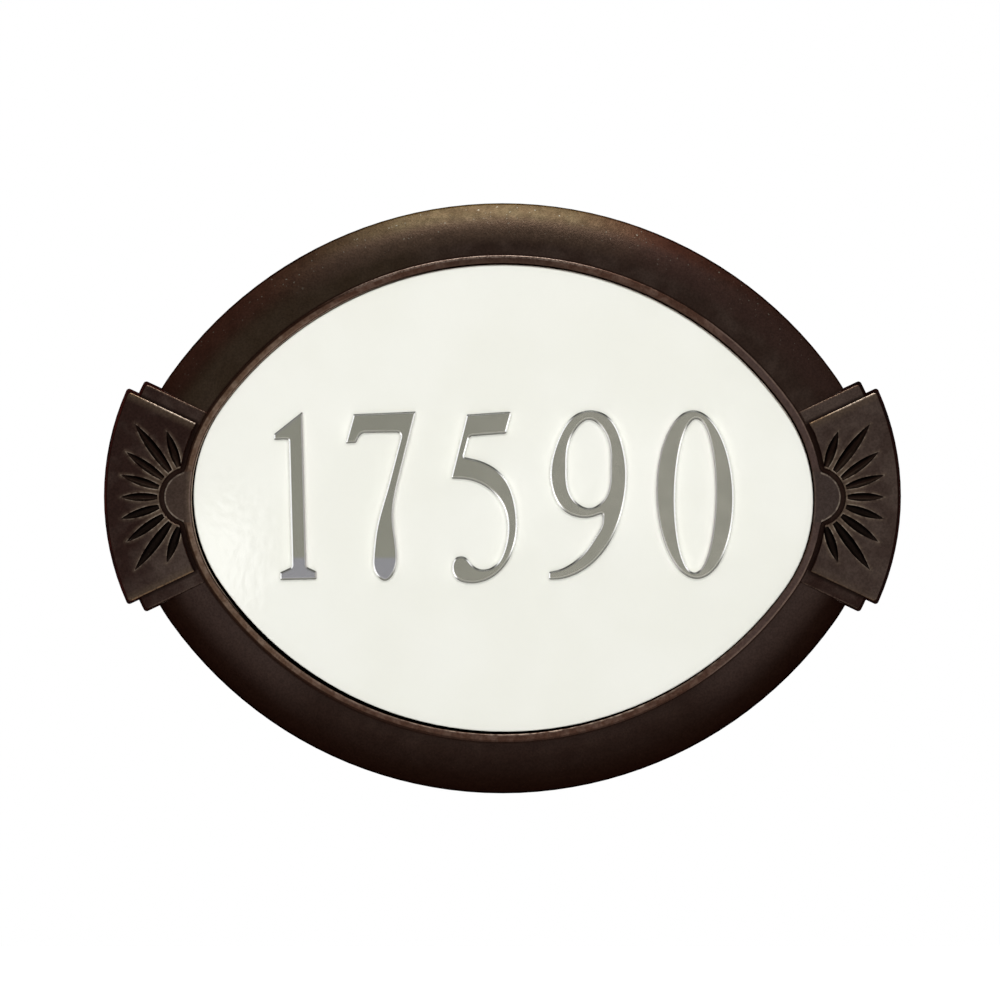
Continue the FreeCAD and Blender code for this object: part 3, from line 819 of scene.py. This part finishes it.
# %% Lamps
def soft_light(name, place, aim, width, height, power):
    data = bpy.data.lights.new(name, "AREA")
    data.shape = "RECTANGLE"
    data.size = width
    data.size_y = height
    data.energy = power
    lamp = bpy.data.objects.new(name, data)
    bpy.context.scene.collection.objects.link(lamp)
    lamp.location = place
    lamp.rotation_euler = (Vector(aim) - Vector(place)).to_track_quat("-Z", "Y").to_euler()
    print(name, "gives", power, "W")
    return lamp


overhead = soft_light("overhead", (0, -0.08, 1.2), (0, -0.08, 0), width=0.75, height=1.0, power=29)
overhead.visible_diffuse = False
soft_light("left_window", (-0.300, -3.1, -0.11), (-0.14, 0, 0), width=0.14, height=0.10, power=0.15)
front_fill = soft_light("front_fill", (0, -3.3, 0.3), (0, 0, 0), width=2.4, height=2.4, power=103)
front_fill.visible_glossy = False

# %% [markdown]
# ## The floor
#
# A plaque hangs on a wall, but this one is shown by itself, so the floor lies well below it and only
# closes the picture when the object is looked at from above. It is pale and matt, and glows white for
# the camera and for reflections. That leaves no grey horizon behind the plaque, and no dark band in
# the polished figures. Glowing for all rays would make it a lamp that lights the plaque from below.

# %% Floor
FLOOR_SIZE = 6
FLOOR_HEIGHT = -0.45
PALE = (0.8, 0.8, 0.8)

bpy.ops.mesh.primitive_plane_add(size=FLOOR_SIZE, location=(0, 0, FLOOR_HEIGHT))
floor = bpy.context.object
floor.name = "floor"
floor_paint = Paint("pale_floor")
floor_glow = seen_by(floor_paint, "Is Camera Ray", "Is Glossy Ray")
pale_floor = floor_paint.finish(
    Base_Color=PALE, Roughness=1.0, Emission_Color=WHITE, Emission_Strength=floor_glow
)
floor.data.materials.append(pale_floor)
print("floor of", FLOOR_SIZE, "m at", FLOOR_HEIGHT, "m")

# %% [markdown]
# ## The camera
#
# The photograph is head-on and shows almost no perspective. An orthographic camera would show none at
# all, and would lose the sliver of the lip's inner wall that the photograph does show. So the camera
# stands three metres off, just above the plaque's middle, with a long lens that takes in 448 mm: one
# pixel of the photograph is 0.448 mm at the plate.

# %% Camera
WIDTH_SEEN = 0.448
DISTANCE = 3.0
LOOK_DOWN = math.radians(0.9)
SENSOR = 36.0
AIM = Vector((-0.0011, -0.016, -0.0005))

camera_data = bpy.data.cameras.new("camera")
camera_data.sensor_width = SENSOR
camera_data.lens = SENSOR * DISTANCE / WIDTH_SEEN
camera = bpy.data.objects.new("camera", camera_data)
bpy.context.scene.collection.objects.link(camera)
camera.location = AIM + DISTANCE * Vector((0, -math.cos(LOOK_DOWN), math.sin(LOOK_DOWN)))
camera.rotation_euler = (AIM - camera.location).to_track_quat("-Z", "Y").to_euler()
bpy.context.scene.camera = camera
print("lens of", round(camera_data.lens, 1), "mm at", DISTANCE, "m")

# %% [markdown]
# ## Colours as written, and the end
#
# Blender's usual view transform, AgX, greys and compresses bright colours, which suits film-like
# pictures. Here an ivory has to come out as the ivory that was written, so the view is Standard.

# %% Picture settings
bpy.context.scene.view_settings.view_transform = "Standard"
print("view transform:", bpy.context.scene.view_settings.view_transform)
